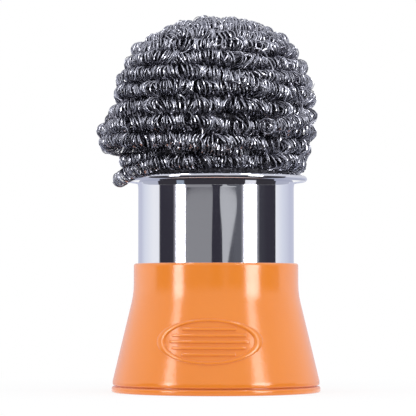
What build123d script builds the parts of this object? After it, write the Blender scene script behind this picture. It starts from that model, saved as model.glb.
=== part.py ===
from build123d import *
import math
import os

# A palm-held pot scrubber. A flared plastic handle is held by its wide end, a polished drawn steel
# cup is pressed into its neck, and a ball of curled stainless wire is bolted into the cup.
# The curled wire is one long springy rope, wound round a packed middle in rows up to the crown.
# The part stands on its base cap with the scourer up, as it is put down to dry. +Z is up the axis,
# the oval thumb grip faces -Y, and the origin is the centre of the cap's underside. Millimetres.

# Clearances and cuts that several pieces share
seat_gap = 0.05
soft_gap = 0.3
overrun = 1.0

# Base cap: the closed wide end, with a shadow line between it and the handle
cap_radius = 32.5
flange_height = 1.8
flange_rounding = 0.6
shadow_gap = 0.4
shadow_depth = 0.9
plate_thickness = 1.6
spigot_wall = 1.4
spigot_height = 6.0
bead_radius = 0.45
bead_rise = 4.2
finger_count = 8
finger_slot_width = 1.8

# Handle shell: foot, conical skirt and straight neck
cap_overhang = 0.3
foot_bend_height = 3.5
foot_bend_rounding = 6.0
neck_radius = 25.65
neck_bend_height = 30.7
neck_bend_rounding = 25.0
handle_top = 40.0
neck_edge_rounding = 0.8
skirt_wall = 1.8
web_thickness = 2.0
boss_radius = 6.5
boss_drop = 4.0
rib_count = 8
rib_thickness = 1.2
rib_drop = 7.0

# Thumb grip: a raised oval ring with plain bars across it, moulded on the skirt
grip_width = 32.2
grip_height = 13.8
grip_centre_height = 16.2
grip_ring_width = 0.95
grip_end_width = 2.6
grip_relief = 0.45
grip_root = 0.8
grip_bar_width = 0.8
grip_bar_pitch = 1.9
grip_bar_count = 5
grip_bar_margin = 1.3

# Steel cup: a drawn cup whose edge is rolled out and back under into a lip
collar_radius = 24.26
sheet = 0.6
collar_seat_depth = 12.0
collar_top = 67.6
floor_bend = 2.0
lip_radius = 28.4
lip_bend = 1.2
lip_tip = 0.5
lip_droop_angle = 15.0
lip_return_angle = 12.0
lip_edge_gap = 0.4

# Clamp bolt, nut, washer and the disc that holds the wire down in the cup
bolt_radius = 2.5
bolt_head_height = 3.5
bolt_end_length = 2.0
bolt_end_chamfer = 0.5
hex_across_flats = 8.0
hex_chamfer = 0.4
hole_gap = 0.25
washer_radius = 5.0
washer_thickness = 1.0
nut_height = 4.0
nut_collar_height = 1.0
disc_radius = 17.0
disc_thickness = 2.0
disc_rim_height = 3.0
disc_rim_wall = 1.6
disc_rise = 22.0
disc_hub_radius = 6.0
disc_hole_count = 6
disc_hole_radius = 2.2

# Wire rope and its ball: the ball's sizes run through the rope's middle
rope_radius = 2.25
row_gap = 0.6
ball_radius = 29.75
ball_upper_height = 29.45
ball_lower_height = 33.7
ball_foot_radius = 26.75
ball_shoulder_factor = 2.3
crown_radius = 4.7
crown_end_radius = 2.95
crown_end_angle = 50.0
start_angle = 197.0

# Unevenness of the rows: a ripple, a slant, a swell to one side and a bulge of two rows
ripple = 0.35
ripple_lobe_count = 3
ripple_drift_angle = 20.0
slant = 2.8
slant_angle = 185.0
slant_drift_angle = 4.0
swell = 1.2
swell_angle = 185.0
bulge = 5.0
bulge_angle = 190.0
bulge_spread_angle = 42.0
bulge_turns = 1.5
bulge_spread_turns = 0.8

# The free end of the rope hangs over the lip: how far round, and from where to where about its edge
hang_turns = 0.14
hang_from_angle = 100.0
hang_to_angle = -5.0

# Heights and radii that follow from the sizes above
foot_radius = cap_radius - cap_overhang
ledge_height = flange_height + shadow_gap
ledge_radius = foot_radius - shadow_depth
bead_height = ledge_height + bead_rise
skirt_slope = (foot_radius - neck_radius) / (neck_bend_height - foot_bend_height)
bead_centre_radius = foot_radius - skirt_wall - seat_gap - skirt_slope * (bead_height - foot_bend_height)
web_top = handle_top - collar_seat_depth
web_bottom = web_top - web_thickness
boss_bottom = web_bottom - boss_drop
cup_floor_top = web_top + sheet
sheet_middle_radius = collar_radius - sheet / 2
bolt_hole_radius = bolt_radius + hole_gap
washer_bottom = boss_bottom - washer_thickness
nut_bottom = washer_bottom - nut_height - nut_collar_height
bolt_end = nut_bottom - bolt_end_length
disc_bottom = cup_floor_top + disc_rise
disc_top = disc_bottom + disc_thickness
head_top = disc_top + bolt_head_height
row_pitch = 2 * rope_radius + row_gap
lip_clear = lip_tip + sheet / 2 + soft_gap + rope_radius
first_row_height = collar_top + soft_gap + rope_radius + ripple
ball_middle = first_row_height + ball_lower_height * math.sqrt(1 - (ball_foot_radius / ball_radius) ** 2)


def turned(outline):
    """Turns a closed outline of radius and height round the upright axis."""
    return revolve(Plane.XZ * make_face(outline), Axis.Z)


def near(shape, radius, height):
    """The corner of a flat outline nearest to a radius and height."""
    return shape.vertices().sort_by_distance((radius, height))[0]


def disc_block(radius, low, high):
    """A plain cylinder on the upright axis between two heights."""
    return Pos(0, 0, low) * Cylinder(radius, high - low, align=(Align.CENTER, Align.CENTER, Align.MIN))


def ring(inner, outer, low, high):
    """A plain ring between two radii and two heights."""
    return disc_block(outer, low, high) - disc_block(inner, low, high)


def hexagon(low, height, chamfered_end):
    """A hexagonal head or nut body, with its corners taken off at one end."""
    body = extrude(Pos(0, 0, low) * RegularPolygon(hex_across_flats / 2, 6, major_radius=False), height)
    end = body.faces().sort_by(Axis.Z)[chamfered_end]
    return chamfer(end.edges(), hex_chamfer)


def flare(inset, low, high):
    """The handle's bell shape between two heights, with its surface moved in by an inset."""
    foot, neck = foot_radius - inset, neck_radius - inset
    bottom, top = ledge_height - overrun, handle_top + overrun
    face = make_face(
        Polyline(
            (0, bottom),
            (foot, bottom),
            (foot, foot_bend_height),
            (neck, neck_bend_height),
            (neck, top),
            (0, top),
            close=True,
        )
    )
    face = fillet(near(face, foot, foot_bend_height), foot_bend_rounding + inset)
    face = fillet(near(face, neck, neck_bend_height), neck_bend_rounding - inset)
    return revolve(Plane.XZ * face, Axis.Z) & disc_block(cap_radius, low, high)


def make_base_cap():
    """Rounded flange, flat underside, ledge for the skirt and a slotted snap spigot."""
    spigot_top = ledge_height + spigot_height
    outline = make_face(
        Polyline(
            (0, 0),
            (cap_radius, 0),
            (cap_radius, flange_height),
            (ledge_radius, flange_height),
            (ledge_radius, ledge_height),
            (0, ledge_height),
            close=True,
        )
    )
    outline = fillet(near(outline, cap_radius, 0), flange_rounding)
    outline = fillet(near(outline, cap_radius, flange_height), flange_rounding)
    cap = revolve(Plane.XZ * outline, Axis.Z)
    inset = skirt_wall + seat_gap
    inside = flare(inset + spigot_wall, ledge_height, spigot_top + overrun)
    cap += flare(inset, ledge_height, spigot_top)
    cap += revolve(Plane.XZ * Pos(bead_centre_radius, bead_height) * Circle(bead_radius), Axis.Z)
    cap -= inside
    cap -= disc_block(ledge_radius - skirt_wall - spigot_wall, plate_thickness, ledge_height + overrun)
    slot = Pos(ledge_radius, 0, ledge_height) * Box(
        4 * (spigot_wall + skirt_wall),
        finger_slot_width,
        spigot_height + overrun,
        align=(Align.CENTER, Align.CENTER, Align.MIN),
    )
    for number in range(finger_count):
        cap -= Rot(0, 0, 360 * number / finger_count) * slot
    return cap


def thumb_grip():
    """Oval ring, wider at its ends, and clipped cross bars that follow the skirt, rooted in its wall."""
    oval = Ellipse(grip_width / 2, grip_height / 2)
    half_width, half_height = grip_width / 2 - grip_end_width, grip_height / 2 - grip_ring_width
    inside = Ellipse(half_width, half_height)
    bar_area = Ellipse(half_width - grip_bar_margin, half_height - grip_bar_margin)
    marks = oval - inside
    for number in range(grip_bar_count):
        rise = (number - (grip_bar_count - 1) / 2) * grip_bar_pitch
        marks += (Pos(0, rise) * SlotOverall(grip_width, grip_bar_width)) & bar_area
    block = extrude(Pos(0, 0, grip_centre_height) * (Plane.XZ * marks), foot_radius + overrun)
    low = grip_centre_height - grip_height
    high = grip_centre_height + grip_height
    skin = flare(-grip_relief, low, high) - flare(grip_root, low - overrun, high + overrun)
    return block & skin


def make_handle_shell():
    """Hollow bell with a web across its neck, a ribbed bolt boss and a snap groove in its foot."""
    shell = flare(0, ledge_height, handle_top)
    top_edge = shell.edges().filter_by(GeomType.CIRCLE).group_by(Axis.Z)[-1]
    shell = fillet(top_edge, neck_edge_rounding)
    shell -= Pos(0, 0, web_top) * Cylinder(
        collar_radius + seat_gap,
        collar_seat_depth + overrun,
        align=(Align.CENTER, Align.CENTER, Align.MIN),
    )
    hollow = flare(skirt_wall, ledge_height - overrun, web_bottom)
    drop = boss_drop + web_thickness
    boss = ring(bolt_hole_radius, boss_radius, boss_bottom, web_bottom)
    rib = Pos(0, 0, web_bottom) * Box(
        neck_radius,
        rib_thickness,
        rib_drop,
        align=(Align.MIN, Align.CENTER, Align.MAX),
    )
    rib_space = hollow - Pos(0, 0, web_bottom) * Cylinder(
        (boss_radius + bolt_hole_radius) / 2,
        rib_drop + drop,
        align=(Align.CENTER, Align.CENTER, Align.MAX),
    )
    # Each rib tapers to the boss, so that the washer and nut below it stay clear
    slope = Plane.XZ * make_face(
        Polyline(
            (boss_radius, boss_bottom),
            (neck_radius, web_bottom - rib_drop),
            (neck_radius, web_bottom - rib_drop - drop),
            (0, web_bottom - rib_drop - drop),
            (0, boss_bottom),
            close=True,
        )
    )
    rib -= extrude(slope, rib_thickness + overrun, both=True)
    rib &= rib_space
    hollow -= boss
    for number in range(rib_count):
        hollow -= Rot(0, 0, 360 * (number + 0.5) / rib_count) * rib
    shell -= hollow
    shell -= Pos(0, 0, boss_bottom) * Cylinder(
        bolt_hole_radius,
        2 * (boss_drop + web_thickness),
        align=(Align.CENTER, Align.CENTER, Align.CENTER),
    )
    groove_radius = bead_radius + seat_gap
    shell -= revolve(Plane.XZ * Pos(bead_centre_radius, bead_height) * Circle(groove_radius), Axis.Z)
    return shell + thumb_grip()


def make_steel_collar():
    """One sheet traced from the bolt hole out across the floor, up the wall and round the lip."""
    droop, back = math.radians(lip_droop_angle), math.radians(lip_return_angle)
    bend_height = collar_top - sheet / 2 - lip_bend
    lip_run = lip_radius - sheet / 2 - lip_tip - sheet_middle_radius - lip_bend
    lip_run = (lip_run - (lip_bend - lip_tip) * math.sin(droop)) / math.cos(droop)
    floor_middle = web_top + sheet / 2
    corner = sheet_middle_radius - floor_bend
    floor = Line((bolt_hole_radius, floor_middle), (corner, floor_middle))
    bend = JernArc(floor @ 1, floor % 1, floor_bend, 90)
    wall = Line(bend @ 1, (sheet_middle_radius, bend_height))
    roll = JernArc(wall @ 1, wall % 1, lip_bend, -(90 + lip_droop_angle))
    top = Line(roll @ 1, roll @ 1 + (roll % 1) * lip_run)
    tip = JernArc(top @ 1, top % 1, lip_tip, -(180 - lip_droop_angle - lip_return_angle))
    return_run = ((tip @ 1).X - collar_radius - lip_edge_gap) / math.cos(back)
    under = Line(tip @ 1, tip @ 1 + (tip % 1) * return_run)
    section = trace([floor, bend, wall, roll, top, tip, under], sheet)
    return revolve(Plane.XZ * section, Axis.Z)


def make_clamp_disc():
    """Dished disc with a bolt hub and holes that the wire swells through."""
    outline = Polyline(
        (bolt_hole_radius, disc_bottom - disc_rim_height),
        (disc_hub_radius, disc_bottom - disc_rim_height),
        (disc_hub_radius, disc_bottom),
        (disc_radius - disc_rim_wall, disc_bottom),
        (disc_radius - disc_rim_wall, disc_bottom - disc_rim_height),
        (disc_radius, disc_bottom - disc_rim_height),
        (disc_radius, disc_top - disc_rim_wall),
        (disc_radius - disc_rim_wall, disc_top),
        (bolt_hole_radius, disc_top),
        close=True,
    )
    disc = turned(outline)
    circle = (disc_hub_radius + disc_radius - disc_rim_wall) / 2
    hole = Pos(circle, 0, disc_bottom) * Cylinder(disc_hole_radius, 2 * (disc_thickness + overrun))
    for number in range(disc_hole_count):
        disc -= Rot(0, 0, 360 * number / disc_hole_count) * hole
    return disc


def make_clamp_bolt():
    """Hexagon bolt, head up inside the ball and plain shank down through cup, web and nut."""
    shank = Pos(0, 0, bolt_end) * Cylinder(
        bolt_radius, disc_top - bolt_end, align=(Align.CENTER, Align.CENTER, Align.MIN)
    )
    shank = chamfer(shank.edges().group_by(Axis.Z)[0], bolt_end_chamfer)
    return hexagon(disc_top, bolt_head_height, -1) + shank


def make_flat_washer():
    """Plain washer that spreads the nut's load on the boss."""
    return ring(bolt_hole_radius, washer_radius, washer_bottom, boss_bottom)


def make_lock_nut():
    """Hexagon nut with the round collar that holds its locking ring."""
    collar_outer = hex_across_flats / 2 - hex_chamfer
    nut = hexagon(washer_bottom - nut_height, nut_height, -1)
    nut += ring(bolt_radius, collar_outer, nut_bottom, washer_bottom - nut_height)
    bore = Pos(0, 0, nut_bottom - overrun) * Cylinder(
        bolt_radius + seat_gap,
        nut_height + nut_collar_height + 2 * overrun,
        align=(Align.CENTER, Align.CENTER, Align.MIN),
    )
    return nut - bore


def meridian(latitude):
    """Radius and height of the rope's middle on the ball, from -90 to 90 degrees of latitude."""
    up = math.sin(math.radians(latitude))
    out = abs(math.cos(math.radians(latitude)))
    if latitude < 0:
        return ball_radius * out, ball_middle + ball_lower_height * up
    power = 2 / ball_shoulder_factor
    return ball_radius * out**power, ball_middle + ball_upper_height * up**power


def ball_spot(latitude, proud):
    """Radius and height of a place that stands proud of the ball at a latitude."""
    radius, height = meridian(latitude)
    below_radius, below_height = meridian(latitude - 1)
    above_radius, above_height = meridian(min(latitude + 1, 90))
    step = math.dist((below_radius, below_height), (above_radius, above_height))
    out, up = (above_height - below_height) / step, (below_radius - above_radius) / step
    return radius + proud * out, height + proud * up


def measure_meridian():
    """Latitudes at steps up the ball, each with the length walked from the first row."""
    first = -math.degrees(math.asin((ball_middle - first_row_height) / ball_lower_height))
    steps = 400
    table = [(0.0, first)]
    last = meridian(first)
    for step in range(1, steps + 1):
        latitude = first + (90 - first) * step / steps
        spot = meridian(latitude)
        table.append((table[-1][0] + math.dist(last, spot), latitude))
        last = spot
    return table


ball_walk = measure_meridian()
rope_turns = (ball_walk[-1][0] - crown_radius) / row_pitch


def latitude_at(walked):
    """The latitude reached after walking a length up the ball from the first row."""
    for (low, start), (high, end) in zip(ball_walk, ball_walk[1:]):
        if high >= walked:
            return start + (end - start) * (walked - low) / (high - low)
    return ball_walk[-1][1]


def rope_section_spot(turn):
    """Radius and height of the rope's middle after so many turns, before it hangs over the lip."""
    angle = math.radians(start_angle) + 2 * math.pi * turn
    rows = turn if turn > 1 else turn**3 * (3 - 2 * turn)
    lift = slant * math.cos(angle - math.radians(slant_angle + slant_drift_angle * turn))
    walked = row_pitch * rows + lift * min(1, turn) * (1 - turn / rope_turns)
    latitude = latitude_at(max(walked, 0))
    proud = ripple * math.sin(ripple_lobe_count * angle + math.radians(ripple_drift_angle) * turn)
    proud += swell * math.cos(angle - math.radians(swell_angle))
    proud *= math.cos(math.radians(latitude))
    aside = (math.degrees(angle) - bulge_angle + 180) % 360 - 180
    across = (turn - bulge_turns) / bulge_spread_turns
    proud += bulge * math.exp(-((aside / bulge_spread_angle) ** 2) - across**4)
    return ball_spot(latitude, proud)


def rope_spot(turn):
    """The rope's middle after so many turns from its free end, which hangs over the lip."""
    radius, height = rope_section_spot(turn)
    if turn < hang_turns:
        share = (1 - turn / hang_turns) ** 2 * (1 + 2 * turn / hang_turns)
        around = math.radians(hang_from_angle + (hang_to_angle - hang_from_angle) * share)
        over_radius = lip_radius - lip_tip - sheet / 2 + lip_clear * math.cos(around)
        over_height = collar_top - sheet / 2 - lip_bend + lip_clear * math.sin(around)
        radius += (over_radius - radius) * min(1, 2 * share)
        height += (over_height - height) * min(1, 2 * share)
    angle = math.radians(start_angle) + 2 * math.pi * turn
    return Vector(radius * math.cos(angle), radius * math.sin(angle), height)


def heading(turn):
    """The rope's direction after so many turns."""
    step = 0.002
    return (rope_spot(turn + step) - rope_spot(max(turn - step, 0))).normalized()


def biarc(start, start_heading, end, end_heading):
    """Two arcs that leave one point and reach another along the given directions."""
    span = end - start
    total = start_heading + end_heading
    square = 2 * (1 - start_heading.dot(end_heading))
    along = span.dot(total)
    reach = (math.sqrt(along**2 + square * span.dot(span)) - along) / square
    first_corner = start + start_heading * reach
    last_corner = end - end_heading * reach
    joint = (first_corner + last_corner) * 0.5
    joint_heading = (last_corner - first_corner).normalized()
    return [
        TangentArc(start, joint, tangent=start_heading),
        TangentArc(joint, end, tangent=joint_heading),
    ]


def make_scourer_winding():
    """The outer rows of curled wire as one unbroken rope, with a straight end at each end."""
    stops = [0, hang_turns / 2, hang_turns]
    quarters = math.ceil(4 * rope_turns)
    stops += [rope_turns * number / quarters for number in range(1, quarters + 1)]
    spots = [rope_spot(turn) for turn in stops]
    headings = [heading(turn) for turn in stops]
    tuck = crown_end_radius / crown_radius
    spots[-1] = Vector(spots[-1].X * tuck, spots[-1].Y * tuck, spots[-1].Z)
    headings[-1] = headings[-1].rotate(Axis.Z, crown_end_angle)
    free_end = spots[0] - headings[0] * 2 * rope_radius
    crown_end = spots[-1] + headings[-1] * 2 * rope_radius
    edges = [Line(free_end, spots[0])]
    for place in range(len(stops) - 1):
        edges += biarc(spots[place], headings[place], spots[place + 1], headings[place + 1])
    edges.append(Line(spots[-1], crown_end))
    report_rope(edges, stops[-1])
    return sweep(Plane(free_end, z_dir=headings[0]) * Circle(rope_radius), path=Wire(edges))


def report_rope(edges, rows):
    """Prints the rope's length and the least gap that it keeps from itself."""
    samples = 12
    spots = []
    walked = 0
    for edge in edges:
        for number in range(samples):
            spot = edge @ (number / samples)
            spots.append((walked + edge.length * number / samples, (spot.X, spot.Y, spot.Z)))
        walked += edge.length
    apart = 4 * rope_radius
    least = min(
        math.dist(spot, other)
        for place, (length, spot) in enumerate(spots)
        for other_length, other in spots[place:]
        if other_length - length > apart
    )
    print("rope rows", round(rows, 2), "length", round(walked, 1))
    print("least gap of the rope to itself", round(least - 2 * rope_radius, 2))


def make_scourer_core():
    """The packed middle of the ball, down into the cup and round the clamp disc and bolt."""
    inset = rope_radius + soft_gap + ripple
    neck = collar_radius - sheet - soft_gap
    low = cup_floor_top + soft_gap
    around_disc = disc_radius + soft_gap
    around_bolt = bolt_hole_radius + soft_gap
    around_head = hex_across_flats / math.sqrt(3) + soft_gap
    first = ball_walk[0][1]
    steps = 8
    last = 84
    side = [ball_spot(first + (last - first) * number / steps, -inset) for number in range(steps + 1)]
    crown = (0, ball_middle + ball_upper_height - inset)
    base = collar_top + soft_gap
    dome = turned(
        [
            Spline(side + [crown], tangents=((0, 1), (-1, 0))),
            Polyline(crown, (0, base), (side[0][0], base), side[0]),
        ]
    )
    lean = math.radians(swell_angle)
    core = Pos(swell * math.cos(lean), swell * math.sin(lean), 0) * dome
    plug = disc_block(neck, low, base)
    core += fillet(plug.edges().group_by(Axis.Z)[0], floor_bend)
    core -= disc_block(around_bolt, low - overrun, disc_bottom)
    core -= disc_block(around_disc, disc_bottom - disc_rim_height - soft_gap, disc_top + soft_gap)
    return core - disc_block(around_head, disc_top, head_top + soft_gap)


pieces = {
    "base_cap": make_base_cap,
    "handle_shell": make_handle_shell,
    "steel_collar": make_steel_collar,
    "clamp_disc": make_clamp_disc,
    "clamp_bolt": make_clamp_bolt,
    "flat_washer": make_flat_washer,
    "lock_nut": make_lock_nut,
    "scourer_core": make_scourer_core,
    "scourer_winding": make_scourer_winding,
}

os.makedirs("parts", exist_ok=True)
for name, make in pieces.items():
    export_step(make(), "parts/" + name + ".step")
    print("wrote", name)
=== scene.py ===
import bpy
import math
import random
import numpy as np
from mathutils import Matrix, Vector


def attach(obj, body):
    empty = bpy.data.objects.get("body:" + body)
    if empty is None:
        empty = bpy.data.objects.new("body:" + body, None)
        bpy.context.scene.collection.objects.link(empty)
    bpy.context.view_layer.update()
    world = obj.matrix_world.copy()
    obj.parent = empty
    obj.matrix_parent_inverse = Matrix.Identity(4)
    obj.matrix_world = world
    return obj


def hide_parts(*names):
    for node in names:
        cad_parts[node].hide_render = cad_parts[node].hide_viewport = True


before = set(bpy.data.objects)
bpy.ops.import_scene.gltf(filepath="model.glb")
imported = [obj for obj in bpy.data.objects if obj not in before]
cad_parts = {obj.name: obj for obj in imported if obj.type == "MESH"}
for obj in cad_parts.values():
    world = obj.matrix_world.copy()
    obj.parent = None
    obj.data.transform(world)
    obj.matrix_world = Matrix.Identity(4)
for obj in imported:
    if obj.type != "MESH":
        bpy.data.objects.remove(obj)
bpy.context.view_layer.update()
mm = 0.001


# Small helpers

def selectNothing():
    if bpy.context.object and bpy.context.object.mode != "OBJECT":
        bpy.ops.object.mode_set(mode="OBJECT")
    bpy.ops.object.select_all(action="DESELECT")


def toLinear(hexColour):
    channels = [int(hexColour[place:place + 2], 16) / 255 for place in (1, 3, 5)]
    return tuple(c / 12.92 if c <= 0.04045 else ((c + 0.055) / 1.055) ** 2.4 for c in channels) + (1.0,)


def addNode(tree, kind, settings=None, links=None):
    node = tree.nodes.new(kind)
    for name, value in (settings or {}).items():
        if name in node.inputs:
            node.inputs[name].default_value = value
        else:
            setattr(node, name, value)
    for name, socket in (links or {}).items():
        tree.links.new(socket, node.inputs[name])
    return node


def startMaterial(name):
    material = bpy.data.materials.new(name)
    material.use_nodes = True
    material.node_tree.nodes.clear()
    return material, material.node_tree


def dress(piece, material, slotName, *nodes):
    piece.data.materials.clear()
    piece.data.materials.append(material)
    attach(piece, "root")
    if nodes:
        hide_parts(*nodes)


def roundCorners(corners, arcStep=7.5):
    # corners are (radius, height, rounding); a rounded corner becomes an arc in steps of some degrees
    points = []
    for place, (x, z, rounding) in enumerate(corners):
        corner = Vector((x, z))
        if rounding == 0:
            points.append((x, z))
            continue
        before = (Vector(corners[place - 1][:2]) - corner).normalized()
        after = (Vector(corners[(place + 1) % len(corners)][:2]) - corner).normalized()
        half = before.angle(after) / 2
        centre = corner + (before + after).normalized() * rounding / math.sin(half)
        arm = corner + before * rounding / math.tan(half) - centre
        turn = math.pi - 2 * half
        side = 1 if before.x * after.y - before.y * after.x < 0 else -1
        steps = max(3, math.ceil(math.degrees(turn) / arcStep))
        for step in range(steps + 1):
            angle = side * turn * step / steps
            points.append((
                centre.x + arm.x * math.cos(angle) - arm.y * math.sin(angle),
                centre.y + arm.x * math.sin(angle) + arm.y * math.cos(angle),
            ))
    return holdFlat(points)


def holdFlat(points, reach=0.35, longStep=2.5):
    # two more points near the ends of a long straight step keep its shading straight
    held = []
    for place, spot in enumerate(points):
        held.append(spot)
        if place == len(points) - 1:
            break
        start, end = Vector(spot), Vector(points[place + 1])
        length = (end - start).length
        if length > longStep:
            held.append(tuple(start.lerp(end, reach / length)))
            held.append(tuple(end.lerp(start, reach / length)))
    return held


def turnOnLathe(name, outline, steps, smoothAngle=35, closed=True):
    # one vertex is pulled along the outline in mm, and the line is spun round the upright axis
    weld = 0.002 * mm  # points nearer than this become one
    selectNothing()
    bpy.ops.mesh.primitive_plane_add(size=mm, location=(0, 0, 0))
    piece = bpy.context.object
    piece.name = name
    bpy.ops.object.mode_set(mode="EDIT")
    bpy.ops.mesh.select_all(action="SELECT")
    bpy.ops.mesh.merge(type="CENTER")
    x, z = outline[0]
    bpy.ops.transform.translate(value=(x * mm, 0, z * mm))
    for nextX, nextZ in outline[1:] + (outline[:1] if closed else []):
        step = ((nextX - x) * mm, 0, (nextZ - z) * mm)
        bpy.ops.mesh.extrude_vertices_move(TRANSFORM_OT_translate={"value": step})
        x, z = nextX, nextZ
    bpy.ops.mesh.select_all(action="SELECT")
    bpy.ops.mesh.remove_doubles(threshold=weld)
    bpy.ops.mesh.spin(steps=steps, angle=2 * math.pi, center=(0, 0, 0), axis=(0, 0, 1))
    bpy.ops.mesh.select_all(action="SELECT")
    bpy.ops.mesh.remove_doubles(threshold=2 * weld)
    bpy.ops.mesh.normals_make_consistent(inside=False)
    bpy.ops.object.mode_set(mode="OBJECT")
    bpy.ops.object.shade_smooth_by_angle(angle=math.radians(smoothAngle))
    return piece


# Camera: a long lens, level with the orange skirt and tipped up a little

camera = {
    "distance": 774, "eyeHeight": 32, "azimuth": 4.4,
    "aimHeight": 57.3, "aimLeft": 2.5, "lens": 214.6, "sensor": 36,
}


def makeCamera():
    turn = math.radians(camera["azimuth"])
    across = Vector((math.cos(turn), math.sin(turn), 0))
    back = Vector((math.sin(turn), -math.cos(turn), 0))
    eye = back * camera["distance"] + Vector((0, 0, camera["eyeHeight"]))
    aim = Vector((0, 0, camera["aimHeight"])) - across * camera["aimLeft"]
    bpy.ops.object.camera_add(location=eye * mm)
    lens = bpy.context.object
    lens.name = "productCamera"
    lens.rotation_euler = (aim - eye).to_track_quat("-Z", "Y").to_euler()
    lens.data.lens = camera["lens"]
    lens.data.sensor_width = camera["sensor"]
    lens.data.clip_start = 0.01
    bpy.context.scene.camera = lens


makeCamera()
print("camera set")


# Materials: colours in sRGB hex, and the size of each pattern's features in mm

def scaleOf(size):
    # the Scale of a texture whose features are this many mm across
    return 1 / (size * mm)


def unevenRoughness(tree, look, pattern):
    span = addNode(
        tree, "ShaderNodeMapRange", {"To Min": look["smooth"], "To Max": look["rough"]}, {"Value": pattern},
    )
    return span.outputs["Result"]


def setStops(ramp, stops):
    for element, (position, colour) in zip(ramp.color_ramp.elements, stops):
        element.position = position
        element.color = toLinear(colour)


# the skin's ripples are drawn several times as coarse as real ones, so that they show
plasticLook = {
    "tints": ((0.3, "#ea8216"), (0.7, "#ee871c")), "patch": 28.57,
    "skin": 0.5, "skinAcross": 0.4, "skinDepth": 0.05, "skinBump": 0.6, "smooth": 0.12, "rough": 0.2,
    "ior": 1.5, "specular": 0.75, "sheen": 0.75, "sheenRoughness": 0.45, "sheenTint": "#ffd6ca",
}


def makeHandlePlastic():
    # injection-moulded polypropylene: an even orange, a soft gloss, the faint waviness of a moulded skin,
    # and a pale bloom where the wall turns away from the eye
    look = plasticLook
    material, tree = startMaterial("mouldedPolypropyleneOrange")
    place = addNode(tree, "ShaderNodeTexCoord").outputs["Object"]
    flow = addNode(
        tree, "ShaderNodeTexNoise", {"Scale": scaleOf(look["patch"]), "Detail": 3.0}, {"Vector": place},
    )
    tint = addNode(tree, "ShaderNodeValToRGB", links={"Fac": flow.outputs["Fac"]})
    setStops(tint, look["tints"])
    across = look["skinAcross"]
    flat = addNode(tree, "ShaderNodeMapping", {"Scale": (across, across, 1.0)}, {"Vector": place})
    skin = addNode(
        tree, "ShaderNodeTexNoise", {"Scale": scaleOf(look["skin"]), "Detail": 2.0},
        {"Vector": flat.outputs["Vector"]},
    )
    rough = unevenRoughness(tree, look, skin.outputs["Fac"])
    bump = addNode(
        tree, "ShaderNodeBump", {"Strength": look["skinBump"], "Distance": look["skinDepth"] * mm},
        {"Height": skin.outputs["Fac"]},
    )
    shader = addNode(
        tree, "ShaderNodeBsdfPrincipled", {
            "IOR": look["ior"], "Specular IOR Level": look["specular"], "Sheen Weight": look["sheen"],
            "Sheen Roughness": look["sheenRoughness"], "Sheen Tint": toLinear(look["sheenTint"]),
        }, {"Base Color": tint.outputs["Color"], "Roughness": rough, "Normal": bump.outputs["Normal"]},
    )
    addNode(tree, "ShaderNodeOutputMaterial", links={"Surface": shader.outputs["BSDF"]})
    return material


# the wheel marks lie round the axis, and are drawn coarser than real ones
steelLook = {
    "tone": "#e9eaf1", "marks": 16.67, "marksFiner": 9.0, "smooth": 0.03, "rough": 0.075,
    "wave": 45.45, "waveDepth": 0.5, "waveBump": 0.06,
}


def makeMirrorSteel():
    # deep-drawn stainless steel buffed to a mirror: crisp bands, a trace of haze where the wheel ran
    look = steelLook
    material, tree = startMaterial("buffedStainlessSteel")
    place = addNode(tree, "ShaderNodeTexCoord").outputs["Object"]
    stretch = addNode(tree, "ShaderNodeMapping", {"Scale": (1.0, 1.0, look["marksFiner"])}, {"Vector": place})
    marks = addNode(
        tree, "ShaderNodeTexNoise", {"Scale": scaleOf(look["marks"]), "Detail": 4.0},
        {"Vector": stretch.outputs["Vector"]},
    )
    haze = unevenRoughness(tree, look, marks.outputs["Fac"])
    wave = addNode(
        tree, "ShaderNodeTexNoise", {"Scale": scaleOf(look["wave"]), "Detail": 1.0}, {"Vector": place},
    )
    bump = addNode(
        tree, "ShaderNodeBump", {"Strength": look["waveBump"], "Distance": look["waveDepth"] * mm},
        {"Height": wave.outputs["Fac"]},
    )
    shader = addNode(
        tree, "ShaderNodeBsdfPrincipled", {"Base Color": toLinear(look["tone"]), "Metallic": 1.0},
        {"Roughness": haze, "Normal": bump.outputs["Normal"]},
    )
    addNode(tree, "ShaderNodeOutputMaterial", links={"Surface": shader.outputs["BSDF"]})
    return material


# the tones are painted shade, from bright where the wire lies outermost to grey deep in; the stain is a
# random mottle
wireLook = {
    "tones": ((0.02, "#e8e9f0"), (0.5, "#94939c")), "stain": "#a8a8b0", "stainSize": 2.381,
    "smooth": 0.16, "rough": 0.34,
}


def makeWoolWire():
    # rolled flat stainless wire with a random grey mottle, and painted shade: bright where it lies outermost,
    # greyer where it lies deeper in its curl and in the ball
    look = wireLook
    material, tree = startMaterial("flatStainlessWire")
    place = addNode(tree, "ShaderNodeTexCoord").outputs["Object"]
    depth = addNode(tree, "ShaderNodeAttribute", {"attribute_name": "depth"})
    stain = addNode(
        tree, "ShaderNodeTexNoise", {"Scale": scaleOf(look["stainSize"]), "Detail": 2.0}, {"Vector": place},
    )
    tone = addNode(tree, "ShaderNodeValToRGB", links={"Fac": depth.outputs["Fac"]})
    setStops(tone, look["tones"])
    shadeAndMottle = addNode(
        tree, "ShaderNodeMix", {"data_type": "RGBA", "blend_type": "MULTIPLY"},
        {"Factor": stain.outputs["Fac"]},
    )
    tree.links.new(tone.outputs["Color"], shadeAndMottle.inputs[6])
    shadeAndMottle.inputs[7].default_value = toLinear(look["stain"])
    rough = unevenRoughness(tree, look, stain.outputs["Fac"])
    shader = addNode(
        tree, "ShaderNodeBsdfPrincipled", {"Metallic": 1.0},
        {"Base Color": shadeAndMottle.outputs[2], "Roughness": rough},
    )
    addNode(tree, "ShaderNodeOutputMaterial", links={"Surface": shader.outputs["BSDF"]})
    return material


packedLook = {
    "tones": ((0.0, "#33323a"), (1.0, "#77767f")), "turns": 1.111, "turnDepth": 0.6, "turnBump": 0.8,
    "metallic": 0.6, "roughness": 0.5,
}


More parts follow.
